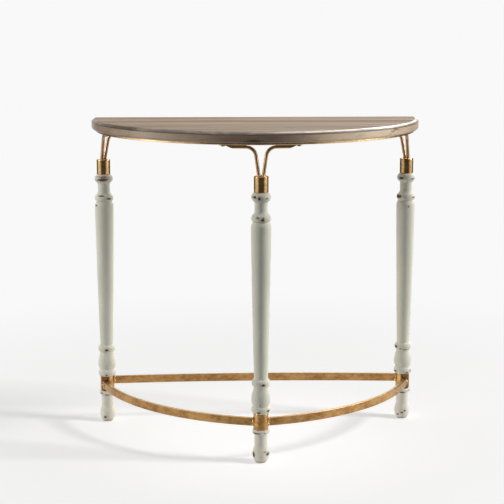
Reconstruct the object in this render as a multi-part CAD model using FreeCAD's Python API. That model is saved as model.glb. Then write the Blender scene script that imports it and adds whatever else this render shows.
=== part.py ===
import FreeCAD, Part
import math
import os

# Demilune side table: a half-round wooden top on a gold flat-bar rim, three forked iron
# ferrules, three turned legs, and a ring of flat-bar stretchers just above the feet.
# Millimetres, +Z up, the straight back edge faces +Y, origin on the floor under the middle.

# Overall
TABLE_HEIGHT = 760.0
TOP_RADIUS = 400.0

# Wooden top and its moulded edge, from the upper face down
TOP_THICKNESS = 24.4
EDGE_OVOLO_WIDTH = 9.5
EDGE_OVOLO_DROP = 6.5
EDGE_OVOLO_SHARE = 0.68
EDGE_LEDGE = 1.5
EDGE_ROUND = 5.0

# Flat-bar rim under the top
RIM_THICKNESS = 5.0
RIM_WIDTH = 28.0
RIM_INSET = 9.0
RIM_EDGE_BEVEL = 0.8
RAIL_SETBACK = 18.0

# Where the legs stand
LEG_INSET = 27.0
SIDE_LEG_SETBACK = 32.0

# Fork rods and their tabs; angles in degrees
ROD_DIAMETER = 7.8
ROD_GAP = 2.4
FRONT_ROD_LEAN = 8.0
SIDE_ROD_LEAN = 10.5
SIDE_ROD_TURN = 20.0
ROD_BEND_RADIUS = 23.0
ROD_SHORT_OF_TAB = 14.0
ROD_TIP_TAPER = 18.0
ROD_SEAT_DEPTH = 5.0
ROD_FLAT = 1.0
FORK_RISE = 67.0
TAB_THICKNESS = 3.0
TAB_WIDTH = 13.0
TAB_START = 27.0
TAB_REACH = 88.0

# Ferrule caps
CAP_DIAMETER = 33.0
CAP_HEIGHT = 37.0
CAP_EDGE_ROUND = 2.0
TENON_DIAMETER = 24.6
TENON_LENGTH = 11.5

# Turned leg, element by element from the top
LEG_SHOULDER_DIAMETER = 32.0
UPPER_BEAD_DIAMETER = 44.6
UPPER_BEAD_HEIGHT = 20.0
UPPER_BEAD_FOOT_DIAMETER = 33.0
NECK_DIAMETER = 29.6
NECK_COVE_HEIGHT = 5.0
NECK_HEIGHT = 16.0
NECK_FLARE_HEIGHT = 8.0
NECK_FLARE_DIAMETER = 36.0
MIDDLE_BEAD_DIAMETER = 45.0
MIDDLE_BEAD_HEIGHT = 17.5
MIDDLE_GROOVE_DIAMETER = 37.0
SHAFT_SHOULDER_HEIGHT = 12.0
SHAFT_TOP_DIAMETER = 46.0
SHAFT_FOOT_DIAMETER = 31.8
SHAFT_SWELL = 0.5
ANKLE_BEAD_DIAMETER = 43.0
ANKLE_BEAD_HEIGHT = 18.0
VASE_NECK_DIAMETER = 33.4
VASE_HOLLOW_HEIGHT = 12.0
VASE_SHOULDER_DIAMETER = 38.0
VASE_SHOULDER_HEIGHT = 19.0
VASE_DIAMETER = 44.2
VASE_HEIGHT = 14.0
VASE_GROOVE_DIAMETER = 35.8
BASE_BEAD_DIAMETER = 44.6
BASE_BEAD_HEIGHT = 17.0
LEG_BASE_DIAMETER = 35.4

# Share of the way to its new radius that a turned curve has gone at half its drop
EARLY = 0.75
LATE = 0.25

# Collars that carry the stretchers
COLLAR_DIAMETER = 34.5
COLLAR_HEIGHT = 38.0
COLLAR_EDGE_ROUND = 1.2

# Turned foot, element by element from the top
FOOT_TOP_DIAMETER = 35.0
FOOT_BEAD_DIAMETER = 38.8
FOOT_BEAD_HEIGHT = 12.5
FOOT_NECK_DIAMETER = 29.8
FOOT_NECK_HEIGHT = 24.0
FOOT_HOLLOW_HEIGHT = 8.5
FOOT_SHOULDER_DIAMETER = 33.2
FOOT_SHOULDER_HEIGHT = 14.0
FOOT_BULB_DIAMETER = 38.4
FOOT_BULB_HEIGHT = 20.0
FOOT_SOLE_DIAMETER = 23.0

# Stretchers
BAR_HEIGHT = 19.5
BAR_THICKNESS = 8.0
BAR_EDGE_BEVEL = 1.0
BAR_OUTSIDE_LEG = 9.0
BAR_DROP = 2.5
BAR_FRONT_SLOPE = 10.0
BACK_BAR_OFFSET = 4.0
BACK_BAR_BOW = 16.0
BACK_BAR_LIFT = 6.0

# Fasteners
STUD_DIAMETER = 8.0
UPPER_STUD_SEAT = 8.0
UPPER_STUD_LENGTH = 44.0
INSERT_DIAMETER = 12.0
INSERT_LENGTH = 20.0
LOWER_STUD_GRIP = 18.0
STUD_TIP = 1.0
SCREW_DIAMETER = 4.0
SCREW_HEAD_DIAMETER = 8.0
SCREW_BITE = 14.0
SCREW_POINT = 5.0
PAN_HEAD_HEIGHT = 2.4
PAN_HEAD_ROUND = 1.4
SINK_DEPTH = 2.2
TAB_SCREW_FROM_END = 8.0
RIM_SCREW_ANGLES = (38.0, 58.0, 122.0, 142.0)
RAIL_SCREW_SPACING = 260.0

# Fits, each on the radius
FIT = 0.15
WELD_GAP = 0.2

UP = FreeCAD.Vector(0, 0, 1)
ORIGIN = FreeCAD.Vector(0, 0, 0)

# Levels, from the floor up and from the top down
top_under = TABLE_HEIGHT - TOP_THICKNESS
rim_under = top_under - RIM_THICKNESS
tab_under = rim_under - TAB_THICKNESS
cap_top = tab_under - FORK_RISE
cap_foot = cap_top - CAP_HEIGHT
bulb_height = FOOT_HOLLOW_HEIGHT + FOOT_SHOULDER_HEIGHT + FOOT_BULB_HEIGHT
foot_top = FOOT_BEAD_HEIGHT + FOOT_NECK_HEIGHT + bulb_height
collar_top = foot_top + COLLAR_HEIGHT
bar_middle = foot_top + COLLAR_HEIGHT / 2
socket_depth = TENON_LENGTH + FIT
rod_tail = tab_under - ROD_DIAMETER / 2 + ROD_FLAT

# Plan: the rim's centre is the middle of the back edge
back_y = TOP_RADIUS / 2
rim_outer = TOP_RADIUS - RIM_INSET
rim_inner = rim_outer - RIM_WIDTH
leg_circle = TOP_RADIUS - LEG_INSET
rod_reach = TAB_REACH - ROD_SHORT_OF_TAB
rod_spread = (ROD_DIAMETER + ROD_GAP) / 2
rail_back_y = back_y - RAIL_SETBACK
rail_front_y = rail_back_y - RIM_WIDTH
side_angle = math.degrees(math.asin(SIDE_LEG_SETBACK / leg_circle))
side_x = leg_circle * math.cos(math.radians(side_angle))
side_y = back_y - SIDE_LEG_SETBACK
front_y = back_y - leg_circle

LEG_PLACES = {
    "left": FreeCAD.Vector(-side_x, side_y, 0),
    "front": FreeCAD.Vector(0, front_y, 0),
    "right": FreeCAD.Vector(side_x, side_y, 0),
}

# Each front bar is an arc from the front leg to a point just outside the axis of a side leg
bar_run = side_x + BAR_OUTSIDE_LEG
bar_depth = side_y - front_y
bar_slope = math.radians(BAR_FRONT_SLOPE)
bar_bend = math.hypot(bar_run, bar_depth) / 2 / math.sin(math.atan2(bar_depth, bar_run) - bar_slope)

# Each fork sends one rod each way: along a chord of the rim, or along the back rail.
# The front rods of the side forks lean further inwards than their tails run.
chord_angle = math.degrees(math.asin(TAB_REACH / (2 * leg_circle)))
ROD_HEADINGS = {
    "left": {"inner": 0.0, "front": side_angle + chord_angle - 90.0},
    "front": {"left": 180.0 - chord_angle, "right": chord_angle},
    "right": {"inner": 180.0, "front": -90.0 - side_angle - chord_angle},
}
ROD_TURNS = {
    "left": {"inner": 0.0, "front": SIDE_ROD_TURN},
    "front": {"left": 0.0, "right": 0.0},
    "right": {"inner": 0.0, "front": -SIDE_ROD_TURN},
}
ROD_LEANS = {"left": SIDE_ROD_LEAN, "front": FRONT_ROD_LEAN, "right": SIDE_ROD_LEAN}


class Turning:
    """Half outline of a turned piece, drawn downwards from its top face."""

    def __init__(self, top_z, radius):
        self.z = top_z
        self.radius = radius
        self.top = FreeCAD.Vector(0, 0, top_z)
        self.edges = [Part.LineSegment(self.top, self.point()).toShape()]

    def point(self):
        return FreeCAD.Vector(self.radius, 0, self.z)

    def straight(self, drop, radius):
        start = self.point()
        self.z -= drop
        self.radius = radius
        self.edges.append(Part.LineSegment(start, self.point()).toShape())

    def curve(self, drop, middle_radius, radius):
        start = self.point()
        middle = FreeCAD.Vector(middle_radius, 0, self.z - drop / 2)
        self.z -= drop
        self.radius = radius
        self.edges.append(Part.Arc(start, middle, self.point()).toShape())

    def sweep(self, drop, radius, share):
        """Arc to a new radius, with its middle the given share of the way there."""
        self.curve(drop, self.radius + share * (radius - self.radius), radius)

    def quarter_round(self, size):
        self.sweep(size, self.radius - size, 1 - math.cos(math.radians(30)))

    def solid(self):
        bottom = FreeCAD.Vector(0, 0, self.z)
        self.edges.append(Part.LineSegment(self.point(), bottom).toShape())
        self.edges.append(Part.LineSegment(bottom, self.top).toShape())
        return Part.Face(Part.Wire(self.edges)).revolve(ORIGIN, UP, 360)


def rod(diameter, length, z):
    return Part.makeCylinder(diameter / 2, length, FreeCAD.Vector(0, 0, z))


def hole(diameter, length, z):
    return rod(diameter + 2 * FIT, length, z)


def circles(shape):
    return [edge for edge in shape.Edges if edge.isClosed()]


def rounded_rod(diameter, length, z, edge_round):
    barrel = rod(diameter, length, z)
    return barrel.makeFillet(edge_round, circles(barrel))


def placed(shape, place, heading=0.0):
    """Copy of a shape made at the origin, turned about Z and moved to its place."""
    copy = shape.copy()
    copy.rotate(ORIGIN, UP, heading)
    copy.translate(place)
    return copy


def at_legs(shape):
    return Part.makeCompound([placed(shape, place) for place in LEG_PLACES.values()])


def half_plane(y):
    """Large block that keeps what lies in front of the line y."""
    reach = 2 * TOP_RADIUS
    return Part.makeBox(2 * reach, reach, 2 * TABLE_HEIGHT, FreeCAD.Vector(-reach, y - reach, 0))


def ring(inner, outer, height, centre, bevel):
    """Flat bar bent to a full circle, with its long edges bevelled."""
    bore = Part.makeCylinder(inner, height, centre)
    band = Part.makeCylinder(outer, height, centre).cut(bore)
    return band.makeChamfer(bevel, circles(band))


def rim_point(radius, angle):
    turn = math.radians(angle)
    return FreeCAD.Vector(radius * math.cos(turn), back_y - radius * math.sin(turn), 0)


def rim_screw_places():
    middle = (rim_inner + rim_outer) / 2
    places = [rim_point(middle, angle) for angle in RIM_SCREW_ANGLES]
    rail_middle = (rail_front_y + rail_back_y) / 2
    for side in (-1, 1):
        places.append(FreeCAD.Vector(side * RAIL_SCREW_SPACING / 2, rail_middle, 0))
    return places


def direction(heading):
    turn = math.radians(heading)
    return FreeCAD.Vector(math.cos(turn), math.sin(turn), 0)


def rod_place(leg, way):
    """Where a rod leaves its cap: the pair stands side by side across the fork."""
    headings = ROD_HEADINGS[leg]
    other = [name for name in headings if name != way][0]
    across = direction(headings[way]) - direction(headings[other])
    return LEG_PLACES[leg] + across.normalize() * rod_spread


def rod_upright(leg, way):
    """Direction of a rod above its cap, in the rod's own frame with its tail along X."""
    lean, turn = math.radians(ROD_LEANS[leg]), math.radians(ROD_TURNS[leg][way])
    out = math.sin(lean)
    return FreeCAD.Vector(out * math.cos(turn), out * math.sin(turn), math.cos(lean))


def tab_place(leg, way):
    """Foot of a rod, moved sideways until it stands in line with the rod's tail."""
    upright = rod_upright(leg, way)
    sideways = upright.y / upright.z * (rod_tail - cap_top)
    return rod_place(leg, way) + direction(ROD_HEADINGS[leg][way] + 90.0) * sideways


def tab_screw_places():
    places = []
    for leg, headings in ROD_HEADINGS.items():
        for way, heading in headings.items():
            reach = direction(heading) * (TAB_REACH - TAB_SCREW_FROM_END)
            places.append(tab_place(leg, way) + reach)
    return places


def wood_screw(seat_z, head):
    """Screw driven upwards through its seat, with the given head."""
    tip = top_under + SCREW_BITE
    shank = rod(SCREW_DIAMETER, tip - SCREW_POINT - seat_z, seat_z)
    point = Part.makeCone(SCREW_DIAMETER / 2, 0, SCREW_POINT, FreeCAD.Vector(0, 0, tip - SCREW_POINT))
    return head.fuse([shank, point]).removeSplitter()


def rim_screw():
    sunk = Part.makeCone(SCREW_HEAD_DIAMETER / 2, SCREW_DIAMETER / 2, SINK_DEPTH,
                         FreeCAD.Vector(0, 0, rim_under))
    return wood_screw(rim_under, sunk)


def tab_screw():
    head = rod(SCREW_HEAD_DIAMETER, PAN_HEAD_HEIGHT, tab_under - PAN_HEAD_HEIGHT)
    rim = [edge for edge in head.Edges if edge.BoundBox.ZMax < tab_under]
    return wood_screw(tab_under, head.makeFillet(PAN_HEAD_ROUND, rim))


def pilot_holes(shape, places, z):
    drill = hole(SCREW_DIAMETER, top_under + SCREW_BITE + FIT - z, z)
    return shape.cut([placed(drill, place) for place in places])


def table_top():
    """Half disc with a full ovolo above a small ledge, a plain band, and a rounded lower edge."""
    edge = Turning(TABLE_HEIGHT, TOP_RADIUS - EDGE_OVOLO_WIDTH)
    edge.sweep(EDGE_OVOLO_DROP, TOP_RADIUS - EDGE_LEDGE, EDGE_OVOLO_SHARE)
    edge.straight(0, TOP_RADIUS)
    edge.straight(TOP_THICKNESS - EDGE_OVOLO_DROP - EDGE_ROUND, TOP_RADIUS)
    edge.quarter_round(EDGE_ROUND)
    disc = placed(edge.solid(), FreeCAD.Vector(0, back_y, 0))
    half = disc.common(half_plane(back_y))
    return pilot_holes(half, rim_screw_places() + tab_screw_places(), rim_under)


def sink_holes(shape):
    sink = Part.makeCone(SCREW_HEAD_DIAMETER / 2 + FIT, SCREW_DIAMETER / 2 + FIT, SINK_DEPTH,
                         FreeCAD.Vector(0, 0, rim_under))
    return shape.cut([placed(sink, place) for place in rim_screw_places()])


def rim_hoop():
    centre = FreeCAD.Vector(0, back_y, rim_under)
    band = ring(rim_inner, rim_outer, RIM_THICKNESS, centre, RIM_EDGE_BEVEL)
    arc = band.common(half_plane(rail_front_y))
    return pilot_holes(sink_holes(arc), rim_screw_places() + tab_screw_places(), tab_under)


def back_rail():
    centre = FreeCAD.Vector(0, back_y, rim_under)
    disc = Part.makeCylinder(rim_outer, RIM_THICKNESS, centre)
    disc = disc.makeChamfer(RIM_EDGE_BEVEL, circles(disc))
    strip = disc.common(half_plane(rail_back_y)).cut(half_plane(rail_front_y))
    return pilot_holes(sink_holes(strip), rim_screw_places() + tab_screw_places(), tab_under)


def fork_rod(diameter, upright):
    """Round bar that leans out of its cap, bends level under its tab and tapers away."""
    level = FreeCAD.Vector(1, 0, 0)
    half_bend = upright.getAngle(level) / 2
    tangent = ROD_BEND_RADIUS * math.tan(half_bend)
    foot = FreeCAD.Vector(0, 0, cap_top)
    seat = foot - upright * (ROD_SEAT_DEPTH / upright.z)
    corner = foot + upright * ((rod_tail - cap_top) / upright.z)
    bend_start = corner - upright * tangent
    bend_end = corner + level * tangent
    inward = (level - upright).normalize()
    bend_middle = corner + inward * (ROD_BEND_RADIUS / math.cos(half_bend) - ROD_BEND_RADIUS)
    end = FreeCAD.Vector(rod_reach, corner.y, rod_tail)
    path = Part.Wire([
        Part.LineSegment(seat, bend_start).toShape(),
        Part.Arc(bend_start, bend_middle, bend_end).toShape(),
        Part.LineSegment(bend_end, end).toShape(),
    ])
    section = Part.Wire(Part.makeCircle(diameter / 2, seat, upright))
    bar = path.makePipeShell([section], True, True)
    below = Part.makeBox(4 * rod_reach, 4 * TAB_WIDTH, tab_under,
                         FreeCAD.Vector(-rod_reach, -2 * TAB_WIDTH, 0))
    return bar.common(below).cut(tip_wedge())


def tip_wedge():
    """Wedge that tapers the end of a rod from below up to its tab."""
    low = tab_under - 2 * ROD_DIAMETER
    slope = ROD_TIP_TAPER / ROD_DIAMETER
    far = 2 * rod_reach
    corners = [
        FreeCAD.Vector(rod_reach, -2 * TAB_WIDTH, tab_under),
        FreeCAD.Vector(rod_reach - slope * (tab_under - low), -2 * TAB_WIDTH, low),
        FreeCAD.Vector(far, -2 * TAB_WIDTH, low),
        FreeCAD.Vector(far, -2 * TAB_WIDTH, tab_under),
    ]
    outline = Part.makePolygon(corners + corners[:1])
    return Part.Face(outline).extrude(FreeCAD.Vector(0, 4 * TAB_WIDTH, 0))


def fork_tab():
    """Flat strap with a round outer end and its screw hole."""
    round_at = TAB_REACH - TAB_WIDTH / 2
    strap = Part.makeBox(round_at - TAB_START, TAB_WIDTH, TAB_THICKNESS,
                         FreeCAD.Vector(TAB_START, -TAB_WIDTH / 2, tab_under))
    nose = Part.makeCylinder(TAB_WIDTH / 2, TAB_THICKNESS, FreeCAD.Vector(round_at, 0, tab_under))
    screw_at = FreeCAD.Vector(TAB_REACH - TAB_SCREW_FROM_END, 0, 0)
    return pilot_holes(strap.fuse(nose).removeSplitter(), [screw_at], tab_under)


def fork_rods(leg, diameter):
    """The rods of one fork by the way they go, each in its place."""
    rods = {}
    for way, heading in ROD_HEADINGS[leg].items():
        bar = fork_rod(diameter, rod_upright(leg, way))
        rods[way] = placed(bar, rod_place(leg, way), heading)
    return rods


def fork_cap(leg):
    """Turned ferrule: rod seats above, a socket for the leg's tenon below, a stud seat between."""
    barrel = rounded_rod(CAP_DIAMETER, CAP_HEIGHT, cap_foot, CAP_EDGE_ROUND)
    socket = hole(TENON_DIAMETER, socket_depth, cap_foot)
    stud_seat = hole(STUD_DIAMETER, UPPER_STUD_SEAT + FIT, cap_foot + socket_depth)
    cap = placed(barrel.cut([socket, stud_seat]), LEG_PLACES[leg])
    return cap.cut(list(fork_rods(leg, ROD_DIAMETER + 2 * FIT).values()))


def turned_leg():
    """Beads and neck above, a long tapered shaft, then ankle bead, vase and base bead."""
    leg = Turning(cap_foot + TENON_LENGTH, TENON_DIAMETER / 2)
    leg.straight(TENON_LENGTH, TENON_DIAMETER / 2)
    leg.straight(0, LEG_SHOULDER_DIAMETER / 2)
    leg.curve(UPPER_BEAD_HEIGHT, UPPER_BEAD_DIAMETER / 2, UPPER_BEAD_FOOT_DIAMETER / 2)
    leg.sweep(NECK_COVE_HEIGHT, NECK_DIAMETER / 2, EARLY)
    leg.straight(NECK_HEIGHT, NECK_DIAMETER / 2)
    leg.sweep(NECK_FLARE_HEIGHT, NECK_FLARE_DIAMETER / 2, LATE)
    leg.curve(MIDDLE_BEAD_HEIGHT, MIDDLE_BEAD_DIAMETER / 2, MIDDLE_GROOVE_DIAMETER / 2)
    leg.sweep(SHAFT_SHOULDER_HEIGHT, SHAFT_TOP_DIAMETER / 2, EARLY)
    vase_height = VASE_HOLLOW_HEIGHT + VASE_SHOULDER_HEIGHT + VASE_HEIGHT
    shaft_foot = collar_top + BASE_BEAD_HEIGHT + vase_height + ANKLE_BEAD_HEIGHT
    shaft_middle = (SHAFT_TOP_DIAMETER + SHAFT_FOOT_DIAMETER) / 4 + SHAFT_SWELL
    leg.curve(leg.z - shaft_foot, shaft_middle, SHAFT_FOOT_DIAMETER / 2)
    leg.curve(ANKLE_BEAD_HEIGHT, ANKLE_BEAD_DIAMETER / 2, VASE_NECK_DIAMETER / 2)
    leg.sweep(VASE_HOLLOW_HEIGHT, VASE_SHOULDER_DIAMETER / 2, LATE)
    leg.sweep(VASE_SHOULDER_HEIGHT, VASE_DIAMETER / 2, EARLY)
    leg.sweep(VASE_HEIGHT, VASE_GROOVE_DIAMETER / 2, LATE)
    leg.curve(BASE_BEAD_HEIGHT, BASE_BEAD_DIAMETER / 2, LEG_BASE_DIAMETER / 2)
    top_bore = hole(INSERT_DIAMETER, UPPER_STUD_LENGTH, cap_foot + TENON_LENGTH - UPPER_STUD_LENGTH)
    bottom_bore = hole(INSERT_DIAMETER, INSERT_LENGTH + FIT, collar_top)
    return leg.solid().cut([top_bore, bottom_bore])


def collar():
    sleeve = rounded_rod(COLLAR_DIAMETER, COLLAR_HEIGHT, foot_top, COLLAR_EDGE_ROUND)
    return sleeve.cut(hole(STUD_DIAMETER, COLLAR_HEIGHT, foot_top))


def turned_foot():
    """Small bead under the collar, a neck, and a bulb on a flat sole."""
    foot = Turning(foot_top, FOOT_TOP_DIAMETER / 2)
    foot.curve(FOOT_BEAD_HEIGHT, FOOT_BEAD_DIAMETER / 2, FOOT_NECK_DIAMETER / 2)
    foot.straight(FOOT_NECK_HEIGHT, FOOT_NECK_DIAMETER / 2)
    foot.sweep(FOOT_HOLLOW_HEIGHT, FOOT_SHOULDER_DIAMETER / 2, LATE)
    foot.sweep(FOOT_SHOULDER_HEIGHT, FOOT_BULB_DIAMETER / 2, EARLY)
    foot.sweep(FOOT_BULB_HEIGHT, FOOT_SOLE_DIAMETER / 2, LATE)
    return foot.solid().cut(hole(INSERT_DIAMETER, INSERT_LENGTH + FIT, foot_top - INSERT_LENGTH - FIT))


def stud(length, z):
    bar = rod(STUD_DIAMETER, length, z)
    ends = [edge for edge in bar.Edges if edge.BoundBox.ZLength < STUD_TIP]
    return bar.makeChamfer(STUD_TIP, ends)


def insert_nut(z):
    return rod(INSERT_DIAMETER, INSERT_LENGTH, z).cut(hole(STUD_DIAMETER, INSERT_LENGTH, z))


def collar_clearance(places):
    """Cylinders that trim the bar ends to the collars."""
    radius = COLLAR_DIAMETER / 2 + WELD_GAP
    return [placed(Part.makeCylinder(radius, collar_top), place) for place in places]


def bar_ring(radius, centre):
    half = BAR_THICKNESS / 2
    return ring(radius - half, radius + half, BAR_HEIGHT, centre, BAR_EDGE_BEVEL)


def front_stretcher(side):
    """Bent bar between the front collar and the outer front of a side collar."""
    under = bar_middle - BAR_DROP - BAR_HEIGHT / 2
    centre = FreeCAD.Vector(-side * bar_bend * math.sin(bar_slope),
                            front_y + bar_bend * math.cos(bar_slope), under)
    band = bar_ring(bar_bend, centre)
    reach = 2 * TOP_RADIUS
    quarter = Part.makeBox(reach, side_y - front_y + reach, TABLE_HEIGHT,
                           FreeCAD.Vector(min(0, side * reach), front_y - reach, 0))
    ends = [LEG_PLACES["front"], LEG_PLACES["left" if side < 0 else "right"]]
    return band.common(quarter).cut(collar_clearance(ends))


def back_stretcher():
    """Bar on edge, bowed backwards between the side collars."""
    end_y = side_y + BACK_BAR_OFFSET
    radius = (side_x ** 2 + BACK_BAR_BOW ** 2) / (2 * BACK_BAR_BOW)
    under = bar_middle + BACK_BAR_LIFT - BAR_HEIGHT / 2
    centre = FreeCAD.Vector(0, end_y + BACK_BAR_BOW - radius, under)
    span = Part.makeBox(2 * side_x, TOP_RADIUS, TABLE_HEIGHT,
                        FreeCAD.Vector(-side_x, side_y - COLLAR_DIAMETER, 0))
    ends = [LEG_PLACES["left"], LEG_PLACES["right"]]
    return bar_ring(radius, centre).common(span).cut(collar_clearance(ends))


def build():
    nodes = {
        "table_top": table_top(),
        "rim_hoop": rim_hoop(),
        "back_rail": back_rail(),
        "front_left_stretcher": front_stretcher(-1),
        "front_right_stretcher": front_stretcher(1),
        "back_stretcher": back_stretcher(),
    }
    leg, foot, sleeve = turned_leg(), turned_foot(), collar()
    tab = fork_tab()
    for name, place in LEG_PLACES.items():
        nodes[name + "_leg"] = placed(leg, place)
        nodes[name + "_collar"] = placed(sleeve, place)
        nodes[name + "_foot"] = placed(foot, place)
        nodes[name + "_fork_cap"] = fork_cap(name)
        for way, bar in fork_rods(name, ROD_DIAMETER).items():
            nodes[name + "_fork_" + way + "_rod"] = bar
            heading = ROD_HEADINGS[name][way]
            nodes[name + "_fork_" + way + "_tab"] = placed(tab, tab_place(name, way), heading)
    screws = {"rim_screws": (rim_screw(), rim_screw_places()),
              "tab_screws": (tab_screw(), tab_screw_places())}
    for name, (screw, places) in screws.items():
        nodes[name] = Part.makeCompound([placed(screw, place) for place in places])
    upper_stud_top = cap_foot + socket_depth + UPPER_STUD_SEAT
    lower_stud_length = COLLAR_HEIGHT + 2 * LOWER_STUD_GRIP
    nodes["upper_studs"] = at_legs(stud(UPPER_STUD_LENGTH, upper_stud_top - UPPER_STUD_LENGTH))
    nodes["leg_top_inserts"] = at_legs(insert_nut(cap_foot + TENON_LENGTH - INSERT_LENGTH))
    nodes["lower_studs"] = at_legs(stud(lower_stud_length, foot_top - LOWER_STUD_GRIP))
    nodes["leg_bottom_inserts"] = at_legs(insert_nut(collar_top))
    nodes["foot_inserts"] = at_legs(insert_nut(foot_top - INSERT_LENGTH))
    return nodes


os.makedirs("parts", exist_ok=True)
for node, shape in build().items():
    shape.exportStep("parts/" + node + ".step")
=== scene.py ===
import math
import bmesh
import bpy
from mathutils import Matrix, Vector


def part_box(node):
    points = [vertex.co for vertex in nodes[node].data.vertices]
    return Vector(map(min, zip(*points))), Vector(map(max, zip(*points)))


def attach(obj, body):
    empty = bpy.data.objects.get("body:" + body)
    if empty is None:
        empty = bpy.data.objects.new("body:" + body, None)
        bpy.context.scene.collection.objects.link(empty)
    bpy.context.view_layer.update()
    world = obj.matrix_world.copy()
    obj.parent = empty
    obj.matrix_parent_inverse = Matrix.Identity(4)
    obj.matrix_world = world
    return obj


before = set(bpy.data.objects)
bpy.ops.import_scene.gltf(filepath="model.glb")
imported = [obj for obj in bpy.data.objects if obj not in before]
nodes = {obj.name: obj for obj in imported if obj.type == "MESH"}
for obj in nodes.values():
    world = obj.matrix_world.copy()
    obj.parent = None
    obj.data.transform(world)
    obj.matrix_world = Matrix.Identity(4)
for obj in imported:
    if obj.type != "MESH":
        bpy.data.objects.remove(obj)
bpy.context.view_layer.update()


# Table top
# A half disc of fir boards glued edge to edge, with an ovolo and a small ledge along its curved edge.
# It is stained a greyed brown and waxed. Its moulding is painted dark and its edge pale, in part as painted
# shade and light.
class Wire:
    """A shader socket for Python sums: each expression on it adds the nodes that work it out."""

    def __init__(self, tree, socket=None):
        self.tree = tree
        self.socket = socket

    def add(self, kind, settings, inputs, output=0):
        """Any node: its settings come first, then the values or links of its sockets."""
        node = self.tree.nodes.new("ShaderNode" + kind)
        for name, value in settings.items():
            setattr(node, name, value)
        for name, value in inputs.items():
            if isinstance(value, Wire):
                self.tree.links.new(value.socket, node.inputs[name])
            else:
                node.inputs[name].default_value = value
        return Wire(self.tree, node.outputs[output] if node.outputs else None)

    def out(self, name):
        """Another output of the same node."""
        return Wire(self.tree, self.socket.node.outputs[name])

    def maths(self, operation, *values):
        return self.add("Math", {"operation": operation}, dict(enumerate(values)))

    def most(self, other):
        return self.maths("MAXIMUM", self, other)

    def least(self, other):
        return self.maths("MINIMUM", self, other)

    def unary(self, operation):
        return self.maths(operation, self)

    def __add__(self, other):
        return self.maths("ADD", self, other)

    def __sub__(self, other):
        return self.maths("SUBTRACT", self, other)

    def __rsub__(self, other):
        return self.maths("SUBTRACT", other, self)

    def __mul__(self, other):
        return self.maths("MULTIPLY", self, other)

    def __truediv__(self, other):
        return self.maths("DIVIDE", self, other)

    def __pow__(self, other):
        return self.maths("POWER", self, other)

    def __gt__(self, other):
        return self.maths("GREATER_THAN", self, other)

    __radd__ = __add__
    __rmul__ = __mul__

    def rise(self, low, high):
        """0 at low, 1 at high, a smooth step between; low may be the larger."""
        limits = {"Value": self, "From Min": low, "From Max": high}
        return self.add("MapRange", {"interpolation_type": "SMOOTHSTEP"}, limits)

    def axes(self):
        """The x, y and z of a vector."""
        x = self.add("SeparateXYZ", {}, {0: self})
        return x, x.out("Y"), x.out("Z")

    def length(self):
        return self.add("VectorMath", {"operation": "LENGTH"}, {0: self}, "Value")

    def stretched(self, stretch):
        return self.add("VectorMath", {"operation": "MULTIPLY"}, {0: self, 1: stretch})

    def noise(self, stretch, detail=3.0, roughness=0.55):
        """Cloudy noise from 0 to 1; stretch is its waves per metre along each axis."""
        settings = {"Vector": self.stretched(stretch), "Scale": 1.0, "Detail": detail}
        return self.add("TexNoise", {}, {**settings, "Roughness": roughness})

    def spots(self, stretch):
        """Distance from scattered points; stretch is their number per metre along each axis."""
        return self.add("TexVoronoi", {}, {"Vector": self.stretched(stretch), "Scale": 1.0})

    def tint(self, under, over):
        """Colour under where this mask is 0, colour over where it is 1."""
        return self.add("Mix", {"data_type": "RGBA"}, {0: self, 6: under, 7: over}, 2)


def colour(red, green, blue):
    """Screen colour, 0 to 255, as the linear values that a shader takes."""
    shares = [value / 255 for value in (red, green, blue)]
    linear = [s / 12.92 if s <= 0.04045 else ((s + 0.055) / 1.055) ** 2.4 for s in shares]
    return (*linear, 1.0)


def new_finish(name):
    """An empty material, and the place of each of its points in metres."""
    material = bpy.data.materials.new(name)
    material.use_nodes = True
    material.node_tree.nodes.clear()
    bench = Wire(material.node_tree)
    return material, bench.add("TexCoord", {}, {}, "Object")


def surface(place, base, roughness, height, depth, **others):
    """Closes a finish: base colour, roughness, and a relief of the given depth in metres."""
    normal = place.add("Bump", {}, {"Height": height, "Distance": depth})
    inputs = {"Base Color": base, "Roughness": roughness, "Normal": normal}
    inputs.update({name.replace("_", " "): value for name, value in others.items()})
    shader = place.add("BsdfPrincipled", {}, inputs)
    place.add("OutputMaterial", {}, {"Surface": shader})


def dress(names, material):
    for name in names:
        nodes[name].material_slots[0].material = material


BOARD_WIDTH = 0.100
BOARD_SKEW = 0.10
BOARD_SWAY = 0.050
RING_PITCH = 0.0042
PITH_DEPTH = 0.055
OVOLO_WIDTH = 0.0095
OVOLO_DROP = 0.0065
ARRIS_DEPTH = 0.0028
ARRIS_FADE = 0.0010
LEDGE = 0.0015
EDGE_ROUND = 0.005
BORDER = 0.0004
WOOD_RELIEF = 0.0005

top_low, top_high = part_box("table_top")
top_radius = top_high.x
top_back = top_high.y
ovolo_start = top_radius - OVOLO_WIDTH


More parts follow.
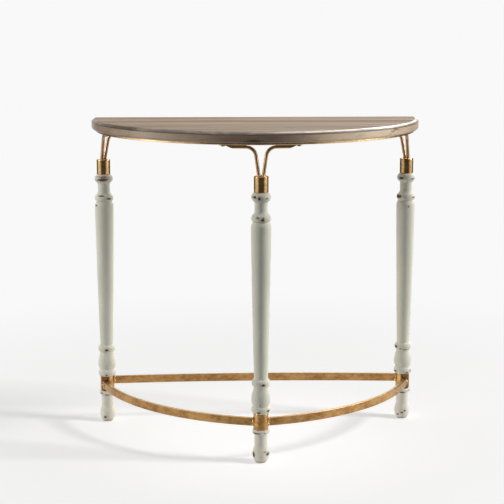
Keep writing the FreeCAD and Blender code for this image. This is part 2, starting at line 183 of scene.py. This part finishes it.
def fir_boards(place):
    """Tone of the boards, each sawn elsewhere in its trunk, with their streaks, late wood and pores."""
    x, y, z = place.axes()
    board = ((y - top_low.y) * (1 / BOARD_WIDTH)).unary("FLOOR")
    lot = place.add("TexWhiteNoise", {"noise_dimensions": "1D"}, {"W": board})
    sway = place.noise((1.6, 5.0, 5.0), 2.0) - 0.5
    across = y - (board + lot) * BOARD_WIDTH - top_low.y
    across = across + (lot - 0.5) * x * BOARD_SKEW + sway * BOARD_SWAY
    under = z - top_low.z + PITH_DEPTH
    ring = (across * across + under * under) ** 0.5 * (1 / RING_PITCH)
    late_wood = ring.unary("FRACT") ** 2
    pores = place.noise((14.0, 520.0, 520.0), 3.0, 0.7).rise(0.52, 0.70)
    streak = place.noise((1.1, 22.0, 22.0), 4.0, 0.6).rise(0.34, 0.68)
    cloud = place.noise((2.2, 7.0, 7.0), 3.0).rise(0.35, 0.66)

    tone = streak.tint(colour(116, 98, 81), colour(180, 157, 132))
    tone = (cloud * 0.35).tint(tone, colour(148, 136, 122))
    tone = (late_wood * 0.30 + pores * 0.25).tint(tone, colour(84, 67, 53))
    tone = (lot * 0.20).tint(tone, colour(112, 93, 76))
    return tone, streak, late_wood, pores


def moulded_edge(z, radius):
    """Masks of the curved edge: the ovolo, its upper arris, the ledge below it and the fascia."""
    ledge_level = top_high.z - OVOLO_DROP
    brim = top_radius - LEDGE
    skirt = top_radius - EDGE_ROUND
    depth = top_high.z - z
    above = z.rise(ledge_level - BORDER / 2, ledge_level + BORDER)
    ovolo = radius.rise(ovolo_start - BORDER, ovolo_start + 3 * BORDER) * above
    arris = ovolo * depth.rise(ARRIS_DEPTH + ARRIS_FADE, ARRIS_DEPTH) * depth.rise(0.0, ARRIS_FADE / 2)
    ledge = radius.rise(brim - 3 * BORDER, brim - BORDER)
    ledge = ledge * (z - ledge_level).unary("ABSOLUTE").rise(2.5 * BORDER, BORDER)
    fascia = radius.rise(skirt, skirt + 2.5 * BORDER) * (1 - above)
    fascia = fascia * z.rise(top_low.z + BORDER / 4, top_low.z + BORDER)
    return ovolo, arris, ledge, fascia


def stained_fir():
    material, place = new_finish("stained_fir")
    x, y, z = place.axes()
    radius = place.add("CombineXYZ", {}, {0: x, 1: y - top_back}).length()
    tone, streak, late_wood, pores = fir_boards(place)
    ovolo, arris, ledge, fascia = moulded_edge(z, radius)
    smear = place.noise((24.0, 24.0, 90.0), 4.0, 0.6)

    # Painted light: the fascia is painted pale, most right of the middle where the right lamp falls, less at
    # the far right,
    # a little left of the middle, and least in the middle and at the far left; in part rubbed wear.
    along = x * (1 / top_radius)
    tint_share = 0.15 + 0.15 * along.rise(-0.125, -0.500) - 0.20 * along.rise(-0.625, -0.900)
    tint_share = tint_share + 0.70 * along.rise(0.050, 0.450) - 0.35 * along.rise(0.725, 0.925)
    pale = fascia * (0.50 + 0.50 * smear.rise(0.28, 0.50)) * tint_share
    # Painted shade: the ovolo is painted dark, most on the left and middle and fading towards the right; in
    # part dark wax.
    wax_and_shade = ovolo * smear.rise(0.30, 0.55) * (0.72 - 0.58 * along.rise(0.125, 0.625))
    # Painted highlight: the upper arris is painted near white from the middle rightwards; in part a rubbed
    # pale edge.
    bright = arris * (0.60 + 0.40 * smear.rise(0.62, 0.40)) * along.rise(-0.15, 0.30)
    tone = (fascia * 0.35).tint(tone, colour(138, 100, 78))
    tone = pale.tint(tone, colour(242, 216, 182))
    tone = wax_and_shade.tint(tone, colour(66, 54, 44))
    tone = (bright * 0.9).tint(tone, colour(250, 240, 226))
    # Painted shade: the ledge below the ovolo is painted dark as a shadow line.
    tone = (ledge * 0.85).tint(tone, colour(44, 33, 26))

    pinhole = place.spots((95.0, 95.0, 95.0)).rise(0.13, 0.09) * smear.rise(0.52, 0.58)
    pinhole = pinhole * radius.rise(ovolo_start - 5 * BORDER, ovolo_start)
    flaw = pinhole.most(place.spots((5.0, 7.0, 24.0)).rise(0.11, 0.04))
    tone = (flaw * 0.7).tint(tone, colour(58, 42, 33))

    rough = 0.70 + 0.12 * (streak - 0.5) + 0.10 * pores
    wax = (ovolo + fascia) * (0.95 - 0.5 * pores)
    height = 1 - late_wood * 0.35 - pores * 0.45 - flaw * 0.5
    surface(place, tone, rough, height, WOOD_RELIEF,
            Specular_IOR_Level=0.16, Coat_Weight=wax, Coat_Roughness=0.3)
    return material


dress(["table_top"], stained_fir())


# Rim, forks and caps
# Mild steel: a flat-bar hoop and rail screwed under the top, and for each leg two bent rods, welded into a
# turned cap and under flat tabs. All is gilded with metal leaf over a red-brown ground, palest on the hoop.
LEAF_RELIEF = 0.00022
SEAM_SHADE_REACH = 0.0100
SEAM_SHADE_CORE = 0.0042
SEAM_SHADE_WANDER = 0.008


def gold_leaf(name, worn, rich, bright_spot, bole, polish, relief=LEAF_RELIEF, seams=()):
    """Leaf over its ground, with a painted highlight on faces that look up and painted shade beside upright
    seams, given as points on them.
    """
    material, place = new_finish(name)
    upward_highlight = place.add("NewGeometry", {}, {}, "Normal").axes()[2].rise(0.55, 0.90)
    patch = place.noise((40.0, 40.0, 55.0), 4.0, 0.6)
    speckle = place.noise((420.0, 420.0, 420.0), 3.0, 0.7)
    stroke = place.noise((95.0, 95.0, 240.0), 3.0, 0.6)
    sheet = place.noise((16.0, 16.0, 16.0), 2.0)
    pit = place.spots((40.0, 40.0, 40.0)).rise(0.060, 0.035) * (stroke > 0.47)
    ground = (patch * 0.55 + speckle * 0.45).rise(0.58, 0.74)
    bright = (patch * 0.35 + stroke * 0.30 + sheet * 0.35).rise(0.38, 0.60)

    tone = bright.tint(worn, rich)
    tone = (speckle.rise(0.56, 0.74) * 0.40).tint(tone, bright_spot)
    tone = (ground * 0.55).most(pit * 0.85).tint(tone, bole)
    # Painted highlight: faces that look up are painted toward the bright leaf colour.
    tone = (upward_highlight * 0.75).tint(tone, bright_spot)
    plan = place.stretched((1.0, 1.0, 0.0))
    # Painted shade: the leaf darkens to the bole colour in the corners beside the weld seams.
    for seam in seams:
        ends = {0: plan, 1: (seam.x, seam.y, 0.0)}
        beside = plan.add("VectorMath", {"operation": "DISTANCE"}, ends, "Value")
        seam_shade = (beside + (patch - 0.5) * SEAM_SHADE_WANDER).rise(SEAM_SHADE_REACH, SEAM_SHADE_CORE)
        tone = (seam_shade * 0.85).tint(tone, bole)
    rough = polish + 0.14 * ground + 0.08 * (stroke - 0.5) + 0.08 * upward_highlight
    height = speckle * 0.5 + patch * 0.6 + stroke * 0.4 - ground * 0.3
    surface(place, tone, rough, height, relief, Metallic=1.0)
    return material


rod_gilt = gold_leaf("rod_gilt", colour(164, 130, 92), colour(196, 162, 118),
                     colour(228, 200, 156), colour(118, 88, 60), 0.33)
cap_gilt = gold_leaf("cap_gilt", colour(178, 139, 90), colour(216, 179, 124),
                     colour(242, 212, 162), colour(112, 78, 47), 0.20)
hoop_gilt = gold_leaf("hoop_gilt", colour(202, 166, 116), colour(230, 200, 152),
                      colour(242, 220, 178), colour(146, 108, 68), 0.28)
caps = [name for name in nodes if name.endswith("_cap")]
rods = [name for name in nodes if name.endswith("_rod")]
dress([name for name in nodes if "_fork_" in name], rod_gilt)
dress(["rim_hoop", "back_rail"], hoop_gilt)
dress(caps, cap_gilt)

WELD_SIDES = 10
WELD_RIPPLE = 0.0037
WELD_WANDER = 0.0007
WANDER_BEATS = (0.61, 0.47)
SWELL_BEAT = 0.83
SWELL_START = 2.1
MEAN_SWELL = 0.86
RIPPLE_SWELL = 0.12
UNEVEN_SWELL = 0.14
TIP_SWELL = 0.35
TIP_GROWTH = 0.30


def ring_path(centre, along, radius, count):
    side = along.orthogonal().normalized()
    other = along.cross(side)
    turns = [2 * math.pi * k / count for k in range(count)]
    return [centre + radius * (math.cos(turn) * side + math.sin(turn) * other) for turn in turns]


def weld_bead(builder, points, radius, closed, lot):
    """Rippled tube along close points; its ends taper, or meet where the bead is closed."""
    last = len(points) - 1
    step = (points[1] - points[0]).length
    rings = []
    for index, point in enumerate(points):
        ahead = points[(index + 1) % len(points)] if closed else points[min(index + 1, last)]
        back = points[index - 1] if closed or index else points[0]
        along = (ahead - back).normalized()
        side = along.orthogonal().normalized()
        drift = math.sin(WANDER_BEATS[0] * index + lot) * side
        drift += math.cos(WANDER_BEATS[1] * index + lot) * along.cross(side)
        ripple = math.cos(2 * math.pi * index * step / WELD_RIPPLE + lot)
        uneven = math.sin(SWELL_BEAT * index + SWELL_START * lot)
        swell = MEAN_SWELL + RIPPLE_SWELL * ripple + UNEVEN_SWELL * uneven
        if not closed:
            swell *= min(1.0, TIP_SWELL + TIP_GROWTH * min(index, last - index))
        ring = ring_path(point + WELD_WANDER * drift, along, radius * swell, WELD_SIDES)
        rings.append([builder.verts.new(corner) for corner in ring])
    pairs = list(zip(rings, rings[1:]))
    if closed:
        pairs.append((rings[-1], rings[0]))
    for lower, upper in pairs:
        for k in range(WELD_SIDES):
            after = (k + 1) % WELD_SIDES
            builder.faces.new((lower[k], lower[after], upper[after], upper[k]))
    if not closed:
        builder.faces.new(rings[0][::-1])
        builder.faces.new(rings[-1])


def gilded_welds(name, paths, radius, closed):
    builder = bmesh.new()
    for lot, path in enumerate(paths):
        weld_bead(builder, path, radius, closed, lot)
    bmesh.ops.recalc_face_normals(builder, faces=builder.faces)
    mesh = bpy.data.meshes.new(name)
    builder.to_mesh(mesh)
    builder.free()
    mesh.shade_smooth()
    mesh.materials.append(cap_gilt)
    piece = bpy.data.objects.new(name, mesh)
    bpy.context.scene.collection.objects.link(piece)
    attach(piece, "root")


ROD_RADIUS = 0.0040
ROD_WELD = 0.0016
ROD_WELD_STEPS = 24
SEAT_CLEAR = 0.002

cap_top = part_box(caps[0])[1].z


def rod_root(rod):
    """Where the axis of a rod leaves its cap, and which way it runs there."""
    points = sorted((vertex.co for vertex in nodes[rod].data.vertices), key=lambda point: point.z)
    seat = [point for point in points if point.z < cap_top - SEAT_CLEAR]
    neck = [point for point in points if point.z > cap_top + SEAT_CLEAR][:len(seat)]
    low, high = (sum(ring, Vector()) / len(ring) for ring in (seat, neck))
    along = (high - low).normalized()
    return low + along * ((cap_top - low.z) / along.z), along


rod_paths = [ring_path(*rod_root(rod), ROD_RADIUS, ROD_WELD_STEPS) for rod in rods]
gilded_welds("rod_welds", rod_paths, ROD_WELD, True)


# Legs and feet
# Turned hardwood under chalky cream paint, rubbed through on the beads after it dried,
# so that brown wood and the dark first coat show in chips. A stud joins each leg to its foot.
PAINT_RELIEF = 0.0005
MILLIMETRES = 1000

# From here on in millimetres; levels are heights above the floor
BEAD_LEVELS = (614, 566, 188, 148, 125, 73, 20)
BEAD_HALF_WIDTH = 9.0
FOOT_FADE = (80.0, 60.0)
CONTACT_SHADE_FADE = (9.0, 2.0)
BACK_SHIFT = 1.5
FAR_OFF = 50.0

# Each chip's place across from the leg's axis, its level, its width and its height, as seen from the front
CHIPS = {
    "left": (
        (-2.5, 612.0, 25.0, 7.5), (-4.0, 619.0, 26.0, 2.2), (-6.0, 572.0, 13.0, 3.0),
        (13.0, 565.0, 8.0, 4.0), (-18.5, 548.0, 4.0, 4.0), (1.0, 185.5, 9.0, 5.0), (0.0, 121.0, 4.0, 4.0),
        (-13.5, 74.0, 7.0, 3.0), (0.5, 70.0, 14.0, 2.8), (-5.5, 12.5, 6.5, 6.0),
    ),
    "front": (
        (-14.5, 614.5, 8.0, 6.0), (-5.0, 612.0, 5.5, 7.0), (12.0, 612.0, 6.0, 2.4),
        (3.0, 565.0, 6.5, 9.0), (-8.0, 569.0, 6.0, 3.0), (5.5, 186.0, 9.0, 4.5), (-2.0, 139.0, 2.8, 2.8),
        (-6.0, 122.0, 6.0, 4.0), (16.0, 125.0, 6.0, 5.0), (-11.5, 72.0, 16.0, 3.2), (8.0, 73.5, 3.0, 2.0),
        (-17.0, 20.0, 5.0, 11.0), (15.5, 22.0, 8.0, 7.0), (9.0, 28.0, 6.0, 2.0),
    ),
    "right": (
        (-14.5, 613.0, 9.0, 6.0), (13.0, 611.0, 9.0, 3.5), (-19.5, 567.0, 9.0, 8.0),
        (16.0, 565.0, 7.0, 3.0), (4.0, 543.0, 5.0, 3.0), (-19.0, 187.0, 5.0, 7.0), (-9.0, 182.5, 5.0, 3.0),
        (5.0, 180.5, 16.0, 1.6), (-19.5, 123.0, 5.0, 5.0), (8.0, 121.0, 7.0, 4.0), (17.0, 125.0, 4.0, 4.0),
        (-3.0, 69.5, 15.0, 3.2), (16.0, 74.0, 3.0, 3.0), (-2.0, 17.0, 6.0, 4.5), (5.0, 22.0, 5.0, 4.0),
        (-11.5, 12.0, 4.0, 4.0),
    ),
}


def chip_distance(side, spot):
    """Distance from the nearest chip, 1 on its outline."""
    nearest = FAR_OFF
    for across, level, width, tall in CHIPS[side]:
        scale = (2 / width, 2 / tall, 0)
        shift = (-across * scale[0], -level * scale[1], 0)
        scaled = spot.add("VectorMath", {"operation": "MULTIPLY_ADD"}, {0: spot, 1: scale, 2: shift})
        nearest = scaled.length().least(nearest)
    return nearest


def rubbed_paint(side):
    material, place = new_finish(side + "_rubbed_paint")
    low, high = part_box(side + "_leg")
    axis = (low + high) / 2
    x, y, z = place.axes()
    x = (x - axis.x) * MILLIMETRES
    z = z * MILLIMETRES
    behind = (y - axis.y) > 0

    ragged = place.noise((420.0, 420.0, 420.0), 4.0, 0.65)
    blotch = place.noise((110.0, 110.0, 160.0), 4.0, 0.6)
    brush = place.noise((300.0, 300.0, 9.0), 3.0, 0.6)
    drift = place.noise((30.0, 30.0, 9.0), 2.0)

    spot = place.add("CombineXYZ", {}, {0: x - 2 * x * behind, 1: z + BACK_SHIFT * behind})
    nearest = chip_distance(side, spot) + (ragged - 0.5) * 2.2 + (blotch - 0.5) * 1.4
    chip = nearest.rise(1.05, 0.80)
    tint_share = nearest.rise(1.80, 1.00) * 0.55
    crest = 0.0
    for level in BEAD_LEVELS:
        crest = crest + (z - level).unary("ABSOLUTE").rise(BEAD_HALF_WIDTH, 0.0)
    worn = (blotch * 0.6 + ragged * 0.4 + crest * 0.07).rise(0.68, 0.71) * crest.rise(0.05, 0.4)
    speck = place.spots((60.0, 60.0, 40.0)).rise(0.065, 0.040) * (blotch > 0.56)
    bare = chip.most(worn * 0.85).most(speck * 0.4)

    cream = drift.rise(0.3, 0.7).tint(colour(223, 222, 204), colour(232, 231, 217))
    cream = (brush.rise(0.45, 0.75) * 0.25).tint(cream, colour(211, 209, 191))
    cream = (crest * 0.14).tint(cream, colour(224, 214, 198))
    cream = (z.rise(*FOOT_FADE) * 0.3).tint(cream, colour(236, 226, 212))
    # Painted shade: the paint darkens over the lowest millimetres of the feet, as a contact shadow;
    # around the chips the same darker tone is scuffed paint.
    scuff_and_contact_shade = tint_share.most(z.rise(*CONTACT_SHADE_FADE) * (0.35 + 0.5 * blotch))
    cream = scuff_and_contact_shade.tint(cream, colour(186, 168, 150))
    wood = ragged.rise(0.40, 0.60).tint(colour(64, 51, 42), colour(146, 115, 91))
    tone = bare.tint(cream, wood)
    rough = 0.60 + 0.14 * (brush - 0.5) + 0.16 * bare
    height = brush * 0.12 + drift * 0.2 - bare
    surface(place, tone, rough, height, PAINT_RELIEF, Specular_IOR_Level=0.1)
    return material


for side in CHIPS:
    dress([side + "_leg", side + "_foot"], rubbed_paint(side))


# Collars and stretchers
# Steel sleeves between leg and foot, and flat bars on edge between them. Rippled weld beads run up both faces
# of each bar at its collar. All is gilded like the caps, and painted shade darkens the collars beside the
# welds.
SEAM_REACH = 0.0015
SEAM_WELD = 0.0031
BEAD_STEP = 0.0010
COLLAR_RELIEF = 0.00010

collars = [name for name in nodes if name.endswith("_collar")]
bars = [name for name in nodes if name.endswith("_stretcher")]


def seam_paths(bar, collar):
    """Upright paths where the two faces of a bar meet a collar, or none where they stay apart."""
    low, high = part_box(collar)
    axis = (low + high) / 2
    radius = (high.x - low.x) / 2
    corners = [vertex.co for vertex in nodes[bar].data.vertices]
    reach = radius + SEAM_REACH
    ends = [point for point in corners if math.hypot(point.x - axis.x, point.y - axis.y) < reach]
    if not ends:
        return []
    bottom, top = min(point.z for point in ends), max(point.z for point in ends)
    ways = sorted(math.atan2(point.y - axis.y, point.x - axis.x) for point in ends)
    gaps = [(after - before, after) for before, after in zip(ways, ways[1:])]
    gaps.append((ways[0] + 2 * math.pi - ways[-1], ways[0]))
    widest, first = max(gaps)
    steps = range(int((top - bottom) / BEAD_STEP) + 1)
    paths = []
    for way in (first, first + 2 * math.pi - widest):
        out = Vector((math.cos(way), math.sin(way), 0)) * radius
        paths.append([Vector((axis.x, axis.y, bottom + BEAD_STEP * k)) + out for k in steps])
    return paths


bar_gilt = gold_leaf("bar_gilt", colour(152, 111, 67), colour(204, 159, 102),
                     colour(238, 204, 150), colour(94, 63, 38), 0.30)
bar_paths = [path for bar in bars for collar in collars for path in seam_paths(bar, collar)]
collar_gilt = gold_leaf("collar_gilt", colour(158, 112, 62), colour(226, 180, 116), colour(246, 212, 156),
                        colour(96, 64, 38), 0.10, COLLAR_RELIEF, [path[0] for path in bar_paths])
dress(bars, bar_gilt)
dress(collars, collar_gilt)
gilded_welds("bar_welds", bar_paths, SEAM_WELD, False)


# Screws, studs and inserts
# Bought-in steel: wood screws through rim and tabs, studs in caps and collars, insert nuts in legs and feet.
# All are zinc plated, bright with a faint yellow bloom and turning marks; only the screw heads show.
PLATE_RELIEF = 0.0001


def zinc_plate():
    material, place = new_finish("zinc_plate")
    bloom = place.noise((240.0, 240.0, 240.0), 3.0)
    turned = place.noise((90.0, 90.0, 2600.0), 2.0)
    tone = bloom.rise(0.35, 0.7).tint(colour(168, 170, 172), colour(196, 190, 172))
    rough = 0.30 + 0.2 * (bloom - 0.4) + 0.1 * turned
    surface(place, tone, rough, turned, PLATE_RELIEF, Metallic=1.0)
    return material


dress([name for name in nodes if name.endswith(("_screws", "_studs", "_inserts"))], zinc_plate())


# Studio
# A pale floor that runs out to white. Four soft boxes light the table alone, and a fifth casts its shadow on
# the floor. A mirror sees white panels at the sides and far behind, and a dim front.
FLOOR_HALF = 12.0
WHITE = 0.945
AMBIENT = 0.44
GLOSS_DIM = 0.09
GLOW = 0.38
GLOW_TILT = -0.06
GLOW_UNDER = 0.10
BOUNCE = 0.35
FRONT_DIM = 0.85
MIRROR_DIM = 0.62

# Where the floor changes, in metres from the middle: from none of the change to all of it
FAR = (0.7, 1.8)
ASIDE = (0.7, 2.0)
UNDER = (0.55, 0.10)
FRONT = (-0.30, -0.9)
MIRROR_FRONT = (-0.26, -0.54)

floor_mesh = bpy.data.meshes.new("floor")
floor_corners = [(-1, -1), (1, -1), (1, 1), (-1, 1)]
floor_mesh.from_pydata([(FLOOR_HALF * a, FLOOR_HALF * b, 0.0) for a, b in floor_corners], [], [(0, 1, 2, 3)])
floor = bpy.data.objects.new("floor", floor_mesh)
bpy.context.scene.collection.objects.link(floor)


def grey(level):
    return (level, level, level, 1.0)


def ray_kinds(bench):
    """1 for a ray from the camera, and 1 for a ray that a mirror or a glass sends on."""
    from_camera = bench.add("LightPath", {}, {}, "Is Camera Ray")
    return from_camera, from_camera.out("Is Glossy Ray").most(from_camera.out("Is Transmission Ray"))


def side_panels(way):
    """What a mirror sees of the studio, by the y of its way out: white at the sides and far behind."""
    sides = way.rise(-0.80, -0.55) * way.rise(0.45, 0.10)
    return GLOSS_DIM + (1 - GLOSS_DIM) * sides.most(way.rise(0.84, 0.95))


def pale_floor():
    material, place = new_finish("pale_floor")
    x, y = place.axes()[:2]
    distance = place.length()
    from_camera, mirrored = ray_kinds(place)
    seen = from_camera.most(mirrored)
    far = distance.rise(*FAR)
    aside = x.unary("ABSOLUTE").rise(*ASIDE)
    dim = y.rise(*FRONT) * FRONT_DIM * (1 - from_camera) * (1 - aside * mirrored)
    dim = dim.most(y.rise(*MIRROR_FRONT) * MIRROR_DIM * mirrored * (1 - aside))
    dim = dim + (1 - side_panels(y / distance) - dim) * far * mirrored
    pale = place.noise((3.0, 3.0, 3.0), 2.0).tint(grey(0.80), grey(0.82))
    matt = place.add("BsdfDiffuse", {}, {"Color": dim.most(far * seen).tint(pale, grey(0.0))})
    near = GLOW + GLOW_TILT * x + GLOW_UNDER * distance.rise(*UNDER)
    near = near * (1 - far) * (BOUNCE + (1 - BOUNCE) * seen)
    glow = place.add("Emission", {}, {"Color": (near + WHITE * far * seen) * (1 - dim)})
    lit = place.add("AddShader", {}, {0: matt, 1: glow})
    below = place.add("NewGeometry", {}, {}, "Backfacing")
    clear = place.add("BsdfTransparent", {}, {})
    shader = place.add("MixShader", {}, {0: below, 1: lit, 2: clear})
    place.add("OutputMaterial", {}, {"Surface": shader})
    return material


def white_surround():
    world = bpy.data.worlds.new("studio")
    world.use_nodes = True
    world.node_tree.nodes.clear()
    bench = Wire(world.node_tree)
    behind = bench.add("TexCoord", {}, {}, "Generated").axes()[1]
    from_camera, mirrored = ray_kinds(bench)
    ambient = AMBIENT * (1 - FRONT_DIM * behind.rise(0.1, -0.8))
    level = ambient * (1 - mirrored) + side_panels(behind) * mirrored
    level = level * (1 - from_camera) + from_camera * WHITE
    backdrop = bench.add("Background", {}, {"Color": grey(1.0), "Strength": level})
    bench.add("OutputWorld", {}, {"Surface": backdrop})
    return world


floor_mesh.materials.append(pale_floor())
bpy.context.scene.world = white_surround()


def soft_box(name, place, aim, size, watts):
    lamp = bpy.data.lights.new(name, "AREA")
    lamp.shape = "RECTANGLE"
    lamp.size, lamp.size_y = size
    lamp.energy = watts
    box = bpy.data.objects.new(name, lamp)
    box.location = place
    box.rotation_euler = (Vector(aim) - Vector(place)).to_track_quat("-Z", "Y").to_euler()
    bpy.context.scene.collection.objects.link(box)
    return box


def link_floor(boxes, name, state):
    """The lamps leave the floor out, or light nothing else."""
    lit = bpy.data.collections.new(name)
    lit.objects.link(floor)
    lit.collection_objects[0].light_linking.link_state = state
    for box in boxes:
        box.light_linking.receiver_collection = lit


right_box = soft_box("right_box", (8.0, -0.9, 4.0), (0.0, 0.0, 0.45), (1.2, 7.3), 580.0)
left_box = soft_box("left_box", (-2.5, -0.45, 1.3), (0.0, 0.0, 0.5), (0.45, 1.1), 32.0)
back_box = soft_box("back_box", (1.3, 1.7, 2.3), (0.2, 0.0, 0.6), (2.4, 0.6), 42.0)
overhead_box = soft_box("overhead_box", (-0.3, 0.9, 3.2), (0.0, 0.0, 0.4), (2.0, 1.6), 24.0)
floor_box = soft_box("floor_box", (5.62, -1.2, 4.49), (0.0, 0.0, 0.0), (1.3, 1.6), 270.0)
link_floor([right_box, left_box, back_box, overhead_box], "all_but_floor", "EXCLUDE")
link_floor([floor_box], "floor_alone", "INCLUDE")


# Camera
# Worked out from the photograph: a long lens, a little left of the middle and above the top,
# turned slightly to the right and looking down at the legs.
LENS = 102.1
SENSOR_WIDTH = 36.0
YAW = 1.976
PITCH = 10.2
EYE = (-0.1288, -3.3162, 1.0554)

eye = bpy.data.cameras.new("camera")
eye.lens = LENS
eye.sensor_width = SENSOR_WIDTH
camera = bpy.data.objects.new("camera", eye)
camera.location = EYE
camera.rotation_euler = (math.radians(90 - PITCH), 0.0, math.radians(-YAW))
bpy.context.scene.collection.objects.link(camera)
bpy.context.scene.camera = camera

bpy.context.scene.view_settings.view_transform = "Standard"
